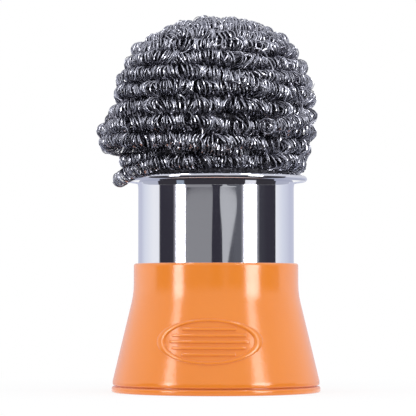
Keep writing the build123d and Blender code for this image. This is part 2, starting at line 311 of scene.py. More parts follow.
def makeWoolShade():
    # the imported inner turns, where so little light gets in that the steel looks near black
    look = packedLook
    material, tree = startMaterial("packedStainlessWire")
    place = addNode(tree, "ShaderNodeTexCoord").outputs["Object"]
    turns = addNode(tree, "ShaderNodeTexVoronoi", {"Scale": scaleOf(look["turns"])}, {"Vector": place})
    tone = addNode(tree, "ShaderNodeValToRGB", links={"Fac": turns.outputs["Distance"]})
    setStops(tone, look["tones"])
    bump = addNode(
        tree, "ShaderNodeBump", {"Strength": look["turnBump"], "Distance": look["turnDepth"] * mm},
        {"Height": turns.outputs["Distance"]},
    )
    shader = addNode(
        tree, "ShaderNodeBsdfPrincipled", {"Metallic": look["metallic"], "Roughness": look["roughness"]},
        {"Base Color": tone.outputs["Color"], "Normal": bump.outputs["Normal"]},
    )
    addNode(tree, "ShaderNodeOutputMaterial", links={"Surface": shader.outputs["BSDF"]})
    return material


fastenerLook = {"tone": "#b9bcc0", "grain": 1.111, "smooth": 0.28, "rough": 0.45}


def makeFastenerSteel():
    # zinc-plated cold-headed steel, satin with a fine grain from the header
    look = fastenerLook
    material, tree = startMaterial("zincPlatedSteel")
    place = addNode(tree, "ShaderNodeTexCoord").outputs["Object"]
    grain = addNode(
        tree, "ShaderNodeTexNoise", {"Scale": scaleOf(look["grain"]), "Detail": 3.0}, {"Vector": place},
    )
    rough = unevenRoughness(tree, look, grain.outputs["Fac"])
    shader = addNode(
        tree, "ShaderNodeBsdfPrincipled", {"Base Color": toLinear(look["tone"]), "Metallic": 1.0},
        {"Roughness": rough},
    )
    addNode(tree, "ShaderNodeOutputMaterial", links={"Surface": shader.outputs["BSDF"]})
    return material


handlePlastic = makeHandlePlastic()
mirrorSteel = makeMirrorSteel()
woolWire = makeWoolWire()
woolShade = makeWoolShade()
fastenerSteel = makeFastenerSteel()
print("materials made")


# Handle shell, millimetres of radius and height

handle = {
    "footRadius": 32.2, "footBottom": 2.2, "footEdge": 0.45, "footBend": 3.5, "footRounding": 3.0,
    "neckRadius": 25.65, "neckBend": 30.7, "neckRounding": 25.0, "top": 40.0, "topEdge": 0.8,
    "boreRadius": 24.31, "boreEdge": 0.25, "webTop": 28.0, "webBottom": 26.0, "wall": 1.8,
    "bossRadius": 6.5, "bossBottom": 22.0, "bossEdge": 0.4, "boltHole": 2.75, "steps": 192,
}
skirtSlope = (handle["footRadius"] - handle["neckRadius"]) / (handle["neckBend"] - handle["footBend"])


def skirtRadius(height):
    return handle["footRadius"] - skirtSlope * (height - handle["footBend"])


def makeHandle():
    h = handle
    outline = roundCorners([
        (h["boreRadius"], h["webTop"], 0),
        (h["boreRadius"], h["top"], h["boreEdge"]),
        (h["neckRadius"], h["top"], h["topEdge"]),
        (h["neckRadius"], h["neckBend"], h["neckRounding"]),
        (h["footRadius"], h["footBend"], h["footRounding"]),
        (h["footRadius"], h["footBottom"], h["footEdge"]),
        (h["footRadius"] - h["wall"], h["footBottom"], 0),
        (h["footRadius"] - h["wall"], h["footBend"], 0),
        (skirtRadius(h["webBottom"]) - h["wall"], h["webBottom"], 0),
        (h["bossRadius"], h["webBottom"], 0),
        (h["bossRadius"], h["bossBottom"], h["bossEdge"]),
        (h["boltHole"], h["bossBottom"], 0),
        (h["boltHole"], h["webTop"], 0),
    ])
    piece = turnOnLathe("handleShell", outline, h["steps"])
    dress(piece, handlePlastic, "handle_plastic", "handle_shell")


# Thumb grip: an oval ring with bars across it, moulded on the front of the skirt

grip = {
    "width": 32.2, "height": 13.8, "centre": 16.2, "ringWidth": 0.95, "endWidth": 2.6, "relief": 0.5,
    "bars": 5, "barWidth": 0.9, "barPitch": 1.9, "barEdge": 0.3, "barParts": 24, "margin": 1.3, "slack": 0.5,
    "smoothAngle": 50,
}


def wrapOnSkirt(piece):
    # a flat design, X across, Y proud of the skin and Z up, is bent round the cone
    for vertex in piece.data.vertices:
        across, proud, height = vertex.co / mm
        radius = skirtRadius(height) + proud
        vertex.co = Vector((across, -math.sqrt(radius ** 2 - across ** 2), height)) * mm


def makeGripRing():
    # the torus's tube is stretched to the ring's width, which grows towards the oval's ends
    g = grip
    selectNothing()
    bpy.ops.mesh.primitive_torus_add(
        major_segments=144, minor_segments=16, major_radius=1, minor_radius=0.5,
    )
    ring = bpy.context.object
    ring.name = "gripRing"
    for vertex in ring.data.vertices:
        x, y, z = vertex.co
        around = math.atan2(y, x)
        across = math.hypot(x, y) - 1
        halfWidth = g["width"] / 2 - g["endWidth"] * (0.5 - across)
        halfHeight = g["height"] / 2 - g["ringWidth"] * (0.5 - across)
        vertex.co = Vector((
            halfWidth * math.cos(around), z * 2 * g["relief"], g["centre"] + halfHeight * math.sin(around),
        )) * mm
    wrapOnSkirt(ring)
    return ring


def makeGripBar(number):
    g = grip
    rise = (number - (g["bars"] - 1) / 2) * g["barPitch"]
    halfHeight = g["height"] / 2 - g["ringWidth"] - g["margin"]
    shorter = math.sqrt(1 - (rise / (halfHeight + g["slack"])) ** 2)
    halfWidth = (g["width"] / 2 - g["endWidth"] - g["margin"]) * shorter
    selectNothing()
    bpy.ops.mesh.primitive_cube_add(size=1, location=(0, 0, 0))
    bar = bpy.context.object
    bar.name = f"gripBar{number + 1}"
    bpy.ops.object.mode_set(mode="EDIT")
    bpy.ops.mesh.select_all(action="SELECT")
    bpy.ops.transform.resize(value=(2 * halfWidth * mm, g["relief"] * 2 * mm, g["barWidth"] * mm))
    bpy.ops.mesh.bevel(offset=g["barEdge"] * mm, segments=4, affect="EDGES")
    for cut in range(1, g["barParts"]):  # so that the bar can follow the cone
        bpy.ops.mesh.select_all(action="SELECT")
        place = (2 * cut / g["barParts"] - 1) * halfWidth * mm
        bpy.ops.mesh.bisect(plane_co=(place, 0, 0), plane_no=(1, 0, 0))
    bpy.ops.mesh.select_all(action="SELECT")
    bpy.ops.transform.translate(value=(0, 0, (g["centre"] + rise) * mm))
    bpy.ops.object.mode_set(mode="OBJECT")
    wrapOnSkirt(bar)
    return bar


def makeGrip():
    parts = [makeGripRing()] + [makeGripBar(number) for number in range(grip["bars"])]
    selectNothing()
    for part in parts:
        part.select_set(True)
    bpy.context.view_layer.objects.active = parts[0]
    bpy.ops.object.join()
    piece = bpy.context.object
    piece.name = "thumbGrip"
    bpy.ops.object.mode_set(mode="EDIT")
    bpy.ops.mesh.select_all(action="SELECT")
    bpy.ops.mesh.normals_make_consistent(inside=False)
    bpy.ops.object.mode_set(mode="OBJECT")
    bpy.ops.object.shade_smooth_by_angle(angle=math.radians(grip["smoothAngle"]))
    dress(piece, handlePlastic, "handle_plastic")


# Base cap

cap = {
    "radius": 32.5, "flange": 1.8, "edge": 0.6, "ledge": 2.2, "ledgeRadius": 31.3, "ledgeEdge": 0.15,
    "spigotTop": 8.2, "spigotWall": 1.4, "spigotEdge": 0.3, "gap": 0.05, "plate": 1.6, "plateEdge": 0.5,
}


def makeCap():
    c = cap
    outer = handle["footRadius"] - handle["wall"] - c["gap"]
    topOuter = skirtRadius(c["spigotTop"]) - handle["wall"] - c["gap"]
    outline = roundCorners([
        (0, 0, 0),
        (c["radius"], 0, c["edge"]),
        (c["radius"], c["flange"], c["edge"]),
        (c["ledgeRadius"], c["flange"], c["ledgeEdge"]),
        (c["ledgeRadius"], c["ledge"], 0),
        (outer, c["ledge"], 0),
        (outer, handle["footBend"], 0),
        (topOuter, c["spigotTop"], c["spigotEdge"]),
        (topOuter - c["spigotWall"], c["spigotTop"], c["spigotEdge"]),
        (outer - c["spigotWall"], c["plate"], c["plateEdge"]),
        (0, c["plate"], 0),
    ])
    piece = turnOnLathe("baseCap", outline, handle["steps"], closed=False)
    dress(piece, handlePlastic, "handle_plastic", "base_cap")


makeHandle()
makeGrip()
makeCap()
print("plastic pieces made")


# Steel cup: the middle line of one sheet, from the bolt hole to the hem under the lip

cup = {
    "sheet": 0.6, "radius": 24.26, "floor": 28.0, "floorBend": 2.0, "boltHole": 2.75,
    "flareFrom": 63.9, "flare": 14.0, "flareBend": 6.0, "top": 67.6, "roll": 1.2,
    "lipRadius": 28.4, "tip": 0.62, "droop": 10.0, "back": 8.0, "hemGap": 0.75, "steps": 256,
}


def makeCup():
    c = cup
    half = c["sheet"] / 2
    wall = c["radius"] - half
    droop, back = math.radians(c["droop"]), math.radians(c["back"])
    flare, fall = math.tan(math.radians(c["flare"])), math.tan(droop)
    tipX = c["lipRadius"] - half - c["tip"]
    rollHeight = c["top"] - half - c["roll"]
    startX, startZ = wall + c["roll"] * (1 + math.sin(droop)), rollHeight + c["roll"] * math.cos(droop)
    tipZ = startZ - (tipX + c["tip"] * math.sin(droop) - startX) * fall - c["tip"] * math.cos(droop)
    reach = c["tip"] * math.tan((math.pi - droop - back) / 2)
    cornerX = tipX + c["tip"] * math.sin(droop) + reach * math.cos(droop)
    cornerZ = tipZ + c["tip"] * math.cos(droop) - reach * math.sin(droop)
    endX = c["radius"] + c["hemGap"]
    endZ = cornerZ - (cornerX - endX) * math.tan(back)
    bendX = (wall + flare * (startZ + startX * fall - c["flareFrom"])) / (1 + flare * fall)
    middle = roundCorners([
        (c["boltHole"], c["floor"] + half, 0),
        (wall, c["floor"] + half, c["floorBend"]),
        (wall, c["flareFrom"], c["flareBend"]),
        (bendX, startZ + (startX - bendX) * fall, c["roll"]),
        (cornerX, cornerZ, c["tip"]),
        (endX, endZ, 0),
    ])
    outer, inner = [], []
    for place, spot in enumerate(middle):
        before = Vector(middle[max(place - 1, 0)])
        after = Vector(middle[min(place + 1, len(middle) - 1)])
        along = (after - before).normalized()
        across = Vector((along.y, -along.x)) * half
        outer.append(tuple(Vector(spot) + across))
        inner.append(tuple(Vector(spot) - across))
    piece = turnOnLathe("steelCup", outer + inner[::-1], c["steps"])
    dress(piece, mirrorSteel, "polished_steel", "steel_collar")


makeCup()
print("steel cup made")


# Wool: one rope of curls wound round the ball in rows, lengths in mm

ball = {
    "radius": 29.75, "upper": 29.45, "lower": 33.7, "foot": 26.75, "shoulder": 2.3,
    "firstRow": 70.5, "pitch": 5.1, "crown": 4.7, "startAngle": 197.0, "seed": 11,
    "wallSteps": 800, "ropeSteps": 6000,
    "ripple": 0.35, "lobes": 3, "rippleDrift": 20.0, "slant": 2.8, "slantAngle": 185.0, "slantDrift": 4.0,
    "swell": 1.2, "swellAngle": 185.0,
    "leanFrom": 94.0, "leanTo": 116.0, "lean": 1.7,
    "bulge": 5.0, "bulgeAngle": 190.0, "bulgeSpread": 42.0, "bulgeTurns": 1.5, "bulgeSpreadTurns": 0.8,
    "hangTurns": 0.14, "hangFrom": 100.0, "hangTo": -5.0, "hangClear": 3.35,
    # how far the rope wanders up and down and in and out, in waves of these parts of a turn
    "climb": 0.65, "climbWaves": (0.13, 0.23, 0.37, 0.83, 1.61),
    "stand": 0.45, "standWaves": (0.09, 0.17, 0.29, 0.61, 1.27),
    # how loose its curls are, more so on one side and less so from some turn on
    "wild": 0.75, "wildMore": 0.3, "wildAngle": -40.0, "calm": 0.7, "calmFrom": 7.0, "calmOver": 2.5,
}
ballMiddle = ball["firstRow"] + ball["lower"] * math.sqrt(1 - (ball["foot"] / ball["radius"]) ** 2)
firstLatitude = -math.degrees(math.asin((ballMiddle - ball["firstRow"]) / ball["lower"]))


def meridian(latitude):
    # radius and height of the ball at a latitude: an ellipse below, a fuller shoulder above
    up = np.sin(np.radians(latitude))
    out = np.abs(np.cos(np.radians(latitude)))
    power = 2 / ball["shoulder"]
    low = latitude < 0
    radius = ball["radius"] * np.where(low, out, out ** power)
    height = ballMiddle + np.where(low, ball["lower"] * up, ball["upper"] * np.abs(up) ** power)
    return radius, height


latitudes = np.linspace(firstLatitude, 90, ball["wallSteps"])
wallRadius, wallHeight = meridian(latitudes)
walks = np.concatenate(([0], np.cumsum(np.hypot(np.diff(wallRadius), np.diff(wallHeight)))))
ropeTurns = (walks[-1] - ball["crown"]) / ball["pitch"]


def ballSpot(latitude, proud):
    # a spot that stands proud of the ball there, and the way straight out
    radius, height = meridian(latitude)
    below, above = meridian(latitude - 1), meridian(np.minimum(latitude + 1, 90))
    step = np.hypot(above[0] - below[0], above[1] - below[1])
    out, up = (above[1] - below[1]) / step, (below[0] - above[0]) / step
    return radius + proud * out, height + proud * up, out, up


def wander(along, seed, lengths):
    # a smooth random walk between about -1 and 1, made of a few waves of these lengths
    dice = random.Random(seed)
    total = np.zeros_like(along)
    for length in lengths:
        total += np.sin(2 * math.pi * along / length + dice.uniform(0, 2 * math.pi)) * dice.uniform(0.6, 1.0)
    return total / math.sqrt(len(lengths))


def ropeRoute(turns, sink=0.0, shift=0.0):
    # the rope's middle, the way out of the ball there, and the way along the rope
    b = ball
    seed = b["seed"]
    angle = np.radians(b["startAngle"]) + 2 * math.pi * turns
    rows = np.where(turns > 1, turns, turns ** 3 * (3 - 2 * turns))  # the first turn starts level
    lift = np.cos(angle - np.radians(b["slantAngle"] + b["slantDrift"] * turns))
    fade = np.minimum(1, turns) * (1 - turns / ropeTurns)
    walked = b["pitch"] * (rows + shift) + b["slant"] * lift * fade
    walked = walked + b["climb"] * wander(turns, seed, b["climbWaves"]) * np.minimum(1, turns)
    latitude = np.interp(np.clip(walked, 0, walks[-1]), walks, latitudes)
    proud = b["ripple"] * np.sin(b["lobes"] * angle + np.radians(b["rippleDrift"]) * turns)
    proud = proud + b["swell"] * np.cos(angle - math.radians(b["swellAngle"]))
    proud = proud * np.cos(np.radians(latitude)) + b["stand"] * wander(turns, seed + 1, b["standWaves"])
    aside = (np.degrees(angle) - b["bulgeAngle"] + 180) % 360 - 180
    across = (turns - b["bulgeTurns"]) / b["bulgeSpreadTurns"]
    proud = proud + b["bulge"] * np.exp(-((aside / b["bulgeSpread"]) ** 2) - across ** 4)
    radius, height, out, up = ballSpot(latitude, proud - sink)
    # the first stretch goes round the lip to the rope's loose end, which hangs there
    near = np.clip(1 - turns / b["hangTurns"], 0, 1)
    share = near ** 2 * (1 + 2 * (1 - near))
    around = np.radians(b["hangFrom"] + (b["hangTo"] - b["hangFrom"]) * share)
    hemX = cup["lipRadius"] - cup["tip"] - cup["sheet"] / 2
    hemZ = cup["top"] - cup["sheet"] / 2 - cup["roll"]
    pull = np.minimum(1, 2 * share) * (sink == 0)
    radius = radius + (hemX + b["hangClear"] * np.cos(around) - radius) * pull
    height = height + (hemZ + b["hangClear"] * np.sin(around) - height) * pull
    rise = np.clip((height - b["leanFrom"]) / (b["leanTo"] - b["leanFrom"]), 0, 1)
    aslant = b["lean"] * rise ** 2 * (3 - 2 * rise)
    middle = np.stack((radius * np.cos(angle) + aslant, radius * np.sin(angle), height), axis=1)
    outward = np.stack((out * np.cos(angle), out * np.sin(angle), up), axis=1)
    along = np.gradient(middle, axis=0)
    along /= np.linalg.norm(along, axis=1, keepdims=True)
    outward -= along * np.sum(outward * along, axis=1, keepdims=True)
    outward /= np.linalg.norm(outward, axis=1, keepdims=True)
    return middle, outward, along


# drawn a little coarser than real wire, so that it shows; then how kinked, and how even where it lies tight
wire = {"width": 0.3, "underWidth": 0.42, "thick": 0.2, "kink": 0.16, "calm": 0.3, "tight": 0.1, "tip": 0.25}


def flatWire(name, stretches, width=wire["width"], thick=wire["thick"]):
    # each stretch is a line of points, the way its flat side faces, and how deep it lies from 0 to 1 for its
    # painted shade
    corners, faces, depths = [], [], []
    count = 0
    for spots, facing, depth in stretches:
        ahead = np.gradient(spots, axis=0)
        ahead /= np.linalg.norm(ahead, axis=1, keepdims=True)
        side = np.cross(ahead, facing)
        side /= np.linalg.norm(side, axis=1, keepdims=True)
        up = np.cross(side, ahead)
        ring = np.stack([
            spots + side * width / 2 * a + up * thick / 2 * b
            for a, b in ((1, 1), (-1, 1), (-1, -1), (1, -1))
        ], axis=1)
        corners.append(ring.reshape(-1, 3))
        depths.append(np.repeat(depth, 4))
        steps = np.arange(len(spots) - 1)[:, None] * 4 + count
        for a, b in ((0, 1), (1, 2), (2, 3), (3, 0)):
            faces.append(np.concatenate((steps + b, steps + a, steps + 4 + a, steps + 4 + b), axis=1))
        last = count + 4 * (len(spots) - 1)
        faces.append(np.array([
            [count, count + 1, count + 2, count + 3], [last + 3, last + 2, last + 1, last],
        ]))
        count += 4 * len(spots)
    mesh = bpy.data.meshes.new(name)
    mesh.from_pydata((np.concatenate(corners) * mm).tolist(), [], np.concatenate(faces).tolist())
    depthMap = mesh.attributes.new("depth", "FLOAT", "POINT")
    depthMap.data.foreach_set("value", np.concatenate(depths).astype(np.float32))
    piece = bpy.data.objects.new(name, mesh)
    bpy.context.collection.objects.link(piece)
    selectNothing()
    piece.select_set(True)
    bpy.context.view_layer.objects.active = piece
    bpy.ops.object.shade_flat()
    return piece


# curls of each layer: half their height and width and the way from one to the next in mm, the points of
# one, how far they move into the rope, and how deep in the ball the wire lies, which darkens it as painted
# shade
ropeCurl = {"out": 3.0, "side": 2.45, "pitch": 1.55, "points": 20, "inset": 0.75, "depth": 0.0}
fineCurl = {"out": 2.3, "side": 1.9, "pitch": 1.7, "points": 16, "inset": 0.5, "depth": 0.15}
underCurl = {"out": 2.2, "side": 2.6, "pitch": 2.4, "points": 12, "inset": 0.0, "depth": 0.45}
foldCurl = {"out": 2.2, "side": 2.42, "pitch": 1.9, "points": 17, "inset": 0.0, "depth": 0.0}
foldFineCurl = {"out": 1.4, "side": 1.54, "pitch": 1.6, "points": 17, "inset": 0.0, "depth": 0.2}

# how far the traits of the curls stray: always, where the rope is loose, and in waves of these mm
traits = {
    "phase": (0.16, 0, (2.1, 5.3, 11.9)), "size": (0.09, 0, (3.7, 7.7, 17.0)),
    "fineSize": (0.09, 0, (1.1, 1.9)), "longSize": (0, 0.08, (13, 31, 67)),
    "lean": (0, 0.08, (2.4, 4.3)), "longLean": (0.1, 0.35, (6.1, 13.3, 29.0)),
    "tip": (0, 0.15, (2.1, 4.7)), "longTip": (0.1, 0.8, (7.1, 11.7, 23.0)),
    "slide": (0.25, 0, (0.8, 1.9, 4.3)), "jog": (0, 0.25, (2.7, 5.9)), "sway": (0, 0.3, (3.3, 7.9)),
    "twist": (0.7, 0, (0.7, 1.9, 4.1)), "fineTwist": (0.5, 0, (0.23, 0.37, 0.53)),
}
sharedSeeds = {"longSize": 77, "longLean": 31, "longTip": 32}  # the same for every strand


def waver(trait, along, seed, loose=0.0):
    always, whenLoose, waves = traits[trait]
    return (always + whenLoose * loose) * wander(along, sharedSeeds.get(trait, seed), waves)


def windCurl(middle, outward, ahead, along, seed, c, start=0.0, loose=1.0, settled=1.0):
    # one wire curled round a rope's middle line, uneven from curl to curl
    sideways = np.cross(ahead, outward)
    phase = start + 2 * math.pi * (along / c["pitch"] + waver("phase", along, seed))
    size = waver("size", along, seed + 1) + waver("fineSize", along, seed + 2)
    size = 1 + size * (wire["calm"] + (1 - wire["calm"]) * loose) - wire["tight"] * (1 - loose)
    size = size + waver("longSize", along, seed, loose)
    lean = waver("longLean", along, seed, loose) + waver("lean", along, seed + 3, loose)
    tip = wire["tip"] + waver("longTip", along, seed, loose) + waver("tip", along, seed + 4, loose)
    reachOut = (c["out"] - c["inset"] * (1 - settled)) * size * np.cos(phase)
    reachSide = c["side"] * size * np.sin(phase)
    slide = reachSide * lean + reachOut * tip + waver("slide", along, seed + 5)
    jog = waver("jog", along, seed + 6, loose) - c["inset"] * settled
    sway = waver("sway", along, seed + 8, loose)
    spots = middle + outward * (reachOut + jog)[:, None] + sideways * (reachSide + sway)[:, None]
    spots = spots + ahead * slide[:, None]
    kinks = np.random.default_rng(seed).normal(size=spots.shape) * wire["kink"] * np.reshape(loose, (-1, 1))
    spots[1:-1] += kinks[:-2] / 4 + kinks[1:-1] / 2 + kinks[2:] / 4
    facing = outward * np.cos(phase)[:, None] + sideways * np.sin(phase)[:, None]
    facing = facing + ahead * waver("twist", along, seed + 7)[:, None]
    facing = facing + ahead * waver("fineTwist", along, seed + 9)[:, None]
    # painted shade: darker away from each curl's outermost point, and darker still on the deeper layers
    depth = np.clip(c["depth"] + (1 - np.cos(phase)) / 2, 0, 1)
    return spots, facing, depth


def lengthsAlong(line):
    return np.concatenate(([0], np.cumsum(np.linalg.norm(np.diff(line, axis=0), axis=1))))


def curlStrand(seed, c, start=0.0, sink=0.0, shift=0.0):
    # one wire along the whole rope; a sunk and shifted one ends as much sooner
    b = ball
    rough = np.linspace(0, ropeTurns - shift, b["ropeSteps"])
    lengths = lengthsAlong(ropeRoute(rough, sink, shift)[0])
    along = np.linspace(0, lengths[-1], int(lengths[-1] / c["pitch"] * c["points"]))
    turns = np.interp(along, lengths, rough)
    towards = np.cos(2 * math.pi * turns + math.radians(b["startAngle"] - b["wildAngle"]))
    settled = np.clip(turns / b["hangTurns"], 0, 1)
    loose = settled * (b["wild"] + b["wildMore"] * towards)
    loose = loose * (1 - b["calm"] * np.clip((turns - b["calmFrom"]) / b["calmOver"], 0, 1))
    return windCurl(*ropeRoute(turns, sink, shift), along, seed, c, start, loose, settled)


ropeStrands = ((7, ropeCurl, 0.0), (107, ropeCurl, math.pi), (507, fineCurl, 1.0))  # seed, curl and start


def makeWinding():
    for number, strand in enumerate(ropeStrands):
        piece = flatWire(f"woolRope{number + 1}", [curlStrand(*strand)])
        dress(piece, woolWire, "wool_wire", "scourer_winding")


# Folds: short stretches of the rope that stand out of the rows. Each stop is the angle round the axis,
# the height and how far the rope's middle stands from the ball's own surface of middles
folds = {
    "foldUpperLeft": (
        (128, 104.0, -2.5), (150, 106.0, 0.4), (175, 107.0, 1.9), (198, 106.5, 2.2), (216, 105.5, 1.2),
        (234, 104.5, -2.0),
    ),
    "foldTop": (
        (243, 104.5, -0.8), (233, 106.6, 1.0), (240, 109.5, 1.1), (256, 112.0, 0.7), (285, 112.8, 0.8),
        (318, 111.0, -0.8),
    ),
    "foldRight": (
        (301, 80.9, 4.2), (304, 80.9, 2.2), (309, 81.2, 1.6), (317, 81.9, 1.6), (330, 83.2, 1.0),
        (348, 84.8, -1.5),
    ),
    "foldLowerLeft": (
        (168, 72.5, -1.5), (182, 72.2, 0.6), (198, 71.6, 1.3), (214, 71.6, 1.0), (236, 72.5, -1.5),
    ),
    "foldLowerFront": (
        (226, 79.5, -2.4), (238, 77.8, 0.2), (254, 76.2, 1.0), (270, 74.8, 0.9), (284, 73.6, 0.2),
        (296, 72.8, -2.4),
    ),
    "foldMiddleRight": (
        (258, 97.4, -2.4), (272, 96.2, 0.2), (288, 94.6, 0.9), (304, 92.8, 0.9), (318, 91.4, 0.2),
        (330, 90.6, -2.4),
    ),
    "foldLowerRight": (
        (330, 71.0, -0.9), (343, 71.6, -0.9), (356, 72.8, -1.2), (372, 75.0, -1.6), (386, 77.0, -2.5),
    ),
}
foldSettings = {
    "curls": (foldCurl, foldCurl, foldFineCurl), "seed": 3000, "samples": 400, "smoothing": 30, "rise": 0.9,
    "loose": 0.3,
}


def smoothLine(stops):
    # the stops' values in even steps, averaged over a stretch on either side
    f = foldSettings
    line = np.interp(np.linspace(0, len(stops) - 1, f["samples"]), np.arange(len(stops)), stops)
    reach = f["smoothing"]
    padded = np.concatenate((np.full(reach, line[0]), line, np.full(reach - 1, line[-1])))
    return np.convolve(padded, np.ones(2 * reach) / (2 * reach), "valid")


def makeFolds():
    f = foldSettings
    for number, (name, stops) in enumerate(folds.items()):
        angle, height, proud = (smoothLine(column) for column in zip(*stops))
        angle = np.radians(angle)
        radius = np.interp(height, wallHeight, wallRadius) + proud
        middle = np.stack((radius * np.cos(angle), radius * np.sin(angle), height), axis=1)
        lengths = lengthsAlong(middle)
        strands = []
        for turn, c in enumerate(f["curls"]):
            along = np.linspace(0, lengths[-1], int(lengths[-1] / c["pitch"] * c["points"]))
            spots = np.stack([np.interp(along, lengths, middle[:, axis]) for axis in range(3)], axis=1)
            ahead = np.gradient(spots, axis=0)
            ahead /= np.linalg.norm(ahead, axis=1, keepdims=True)
            outward = spots * np.array([1, 1, 0])
            outward[:, 2] = (spots[:, 2] - ballMiddle) * f["rise"]
            outward -= ahead * np.sum(outward * ahead, axis=1, keepdims=True)
            outward /= np.linalg.norm(outward, axis=1, keepdims=True)
            seed = f["seed"] + 100 * number + 10 * turn
            strands.append(windCurl(spots, outward, ahead, along, seed, c, math.pi * turn, f["loose"]))
        dress(flatWire(name, strands), woolWire, "wool_wire")


strays = {
    "seed": 12, "count": 90, "ends": 0.6, "shift": 0.5, "points": 26, "bend": (1.6, 4.2), "size": (1.5, 3.4),
    "centring": 0.6, "lift": 1.5, "liftMore": 0.4, "arch": (0.1, 0.5), "ballSize": 60.0, "roll": 0.6,
    # how deep the strays count for their painted shade
    "depth": 0.1,
}


def makeStrays():
    # loose bits of wire that lie over the rows at all angles
    s = strays
    dice = np.random.default_rng(s["seed"])
    stretches = []
    for _ in range(s["count"]):
        near = dice.uniform(s["ends"], ropeTurns - s["ends"]) + np.array([-0.001, 0, 0.001])
        route = ropeRoute(near, 0.0, dice.uniform(-s["shift"], s["shift"]))
        middle, outward, ahead = (row[1] for row in route)
        aslant = dice.uniform(0, math.pi)
        first = ahead * math.cos(aslant) + np.cross(ahead, outward) * math.sin(aslant)
        second = np.cross(outward, first)
        bend, size = dice.uniform(*s["bend"]), dice.uniform(*s["size"])
        sweep = np.linspace(-bend / 2, bend / 2, s["points"])
        lift = s["lift"] + dice.uniform(-s["liftMore"], s["liftMore"])
        lift = lift + dice.uniform(*s["arch"]) * np.cos(sweep / bend * math.pi)
        lift = lift - size ** 2 * np.sin(sweep) ** 2 / s["ballSize"]  # a long bit follows the ball down
        spots = middle + np.outer(size * np.sin(sweep), first) + np.outer(lift, outward)
        spots = spots + np.outer(size * (np.cos(sweep) - s["centring"]), second)
        facing = np.tile(outward + s["roll"] * first, (s["points"], 1))
        stretches.append((spots, facing, np.full(s["points"], s["depth"])))
    dress(flatWire("woolStrays", stretches), woolWire, "wool_wire")


under = {"seed": 1000, "strands": 2, "startStep": 2.0, "sink": 2.8, "shift": 0.5}


def makeUnderTurns():
    # the layer below shows between the rows, half a row up and half a rope deeper
    u = under
    for number in range(u["strands"]):
        strand = curlStrand(
            u["seed"] + 100 * number, underCurl, u["startStep"] * number, u["sink"], u["shift"],
        )
        dress(flatWire(f"woolUnder{number + 1}", [strand], wire["underWidth"]), woolWire, "wool_wire")


core = {
    "cupPart": ((0, 29.0), (21.4, 29.0), (23.3, 31.0), (23.3, 64.0), (22.6, 67.9)),
    "inset": 4.4, "domePoints": 26, "domeTo": 86, "ballFrom": 68.0, "steps": 128,
}


def makeCore():
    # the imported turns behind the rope, from the cup's floor to under the crown
    c = core
    radius, height, _, _ = ballSpot(np.linspace(firstLatitude, c["domeTo"], c["domePoints"]), -c["inset"])
    outline = list(c["cupPart"]) + list(zip(radius.tolist(), height.tolist()))
    outline.append((0, ballMiddle + ball["upper"] - c["inset"]))
    piece = turnOnLathe("woolCore", outline, c["steps"], closed=False, smoothAngle=60)
    lean = math.radians(ball["swellAngle"])
    for vertex in piece.data.vertices:
        if vertex.co.z > c["ballFrom"] * mm:
            vertex.co.x += ball["swell"] * math.cos(lean) * mm
            vertex.co.y += ball["swell"] * math.sin(lean) * mm
    dress(piece, woolShade, "wool_wire", "scourer_core")


makeWinding()
makeFolds()
makeStrays()
makeUnderTurns()
makeCore()
print("wool wound,", round(ropeTurns, 2), "rows")


# Hidden pieces keep their own solids

for nodeName, material in (
    ("clamp_disc", handlePlastic), ("clamp_bolt", fastenerSteel),
    ("flat_washer", fastenerSteel), ("lock_nut", fastenerSteel),
):
    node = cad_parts[nodeName]
    node.data.materials.clear()
    node.data.materials.append(material)


# Studio: floor, side boxes of light, and what the polished steel sees between them

studio = {
    "radius": 0.5, "surroundRadius": 0.56, "surroundTop": 0.1, "surroundSteps": 241,
    "ceilingTop": 0.6, "ceilingSteps": 61, "ceiling": "#dddee5", "tableStep": 4,
    # lamps: name, left and right edge in degrees from the camera, bottom and top in m, and strength
    "boxes": (
        ("leftBox", -59, -45.5, 0.0, 0.17, 8.6), ("rightBox", 41, 60, 0.0, 0.17, 8.6),
        ("leftUpperBox", -59, -49, 0.17, 0.4, 4.2), ("rightUpperBox", 43.5, 55, 0.17, 0.4, 4.4),
    ),
    "topLamps": (("leftTopLamp", -52, 12.0), ("rightTopLamp", 50, 17.0)),
    "topRise": 50, "topDistance": 0.42, "topSize": 0.07, "topTarget": 0.09,
    "fills": (("leftFill", -105, 1.35), ("rightFill", 105, 1.1), ("frontFill", 0, 0.6)),
    "fillDistance": 0.6, "fillHeight": 0.2, "fillTarget": 0.08, "fillSize": 0.5,
    # cards on the table: edges as above, inner and outer radius, height in mm, and tone
    "tableCards": (
        ("tableCard", -92, 96, 0.04, 0.54, 0.5, "#3a383d"),
        ("leftTable", -165, -92, 0.04, 0.54, 0.5, "#bcbfcd"),
        ("rightTable", 96, 165, 0.04, 0.54, 0.5, "#b8bbca"),
        ("leftTableShine", -58, -46, 0.18, 0.5, 0.7, "#9eaab8"),
        ("rightTableShine", 42, 59, 0.17, 0.5, 0.7, "#f4f4f8"),
    ),
}
floorLook = {
    "size": 4.0, "drop": 0.05, "tone": "#fafafa", "shadowFrom": 0.04, "shadowTo": 0.16,
    "nearGlow": 0.8, "bounceGlow": 0.35,
}
worldTone, worldStrength = "#f4f5fb", 0.83
# a few plain tones, and where the surround takes them, in degrees from the camera to the right
tones = {
    "dark": "#37353e", "dusk": "#43434a", "smoke": "#606167", "glow": "#d4d4d9",
    "white": "#fafbfd", "light": "#e4e8f2", "pale": "#cacdde",
}
surroundStops = (
    (-180, "pale"), (-144, "pale"), (-128, "light"), (-104, "white"), (-91, "white"), (-89.5, "dark"),
    (-64, "dark"), (-59.5, "glow"), (-45, "glow"), (-42.5, "dusk"), (-10, "dark"), (5, "dark"), (12, "dusk"),
    (28, "smoke"), (37, "smoke"), (40, "glow"), (60, "glow"), (65, "dusk"), (80, "dark"), (96, "dark"),
    (97.5, "white"), (114, "light"), (140, "pale"), (180, "pale"),
)
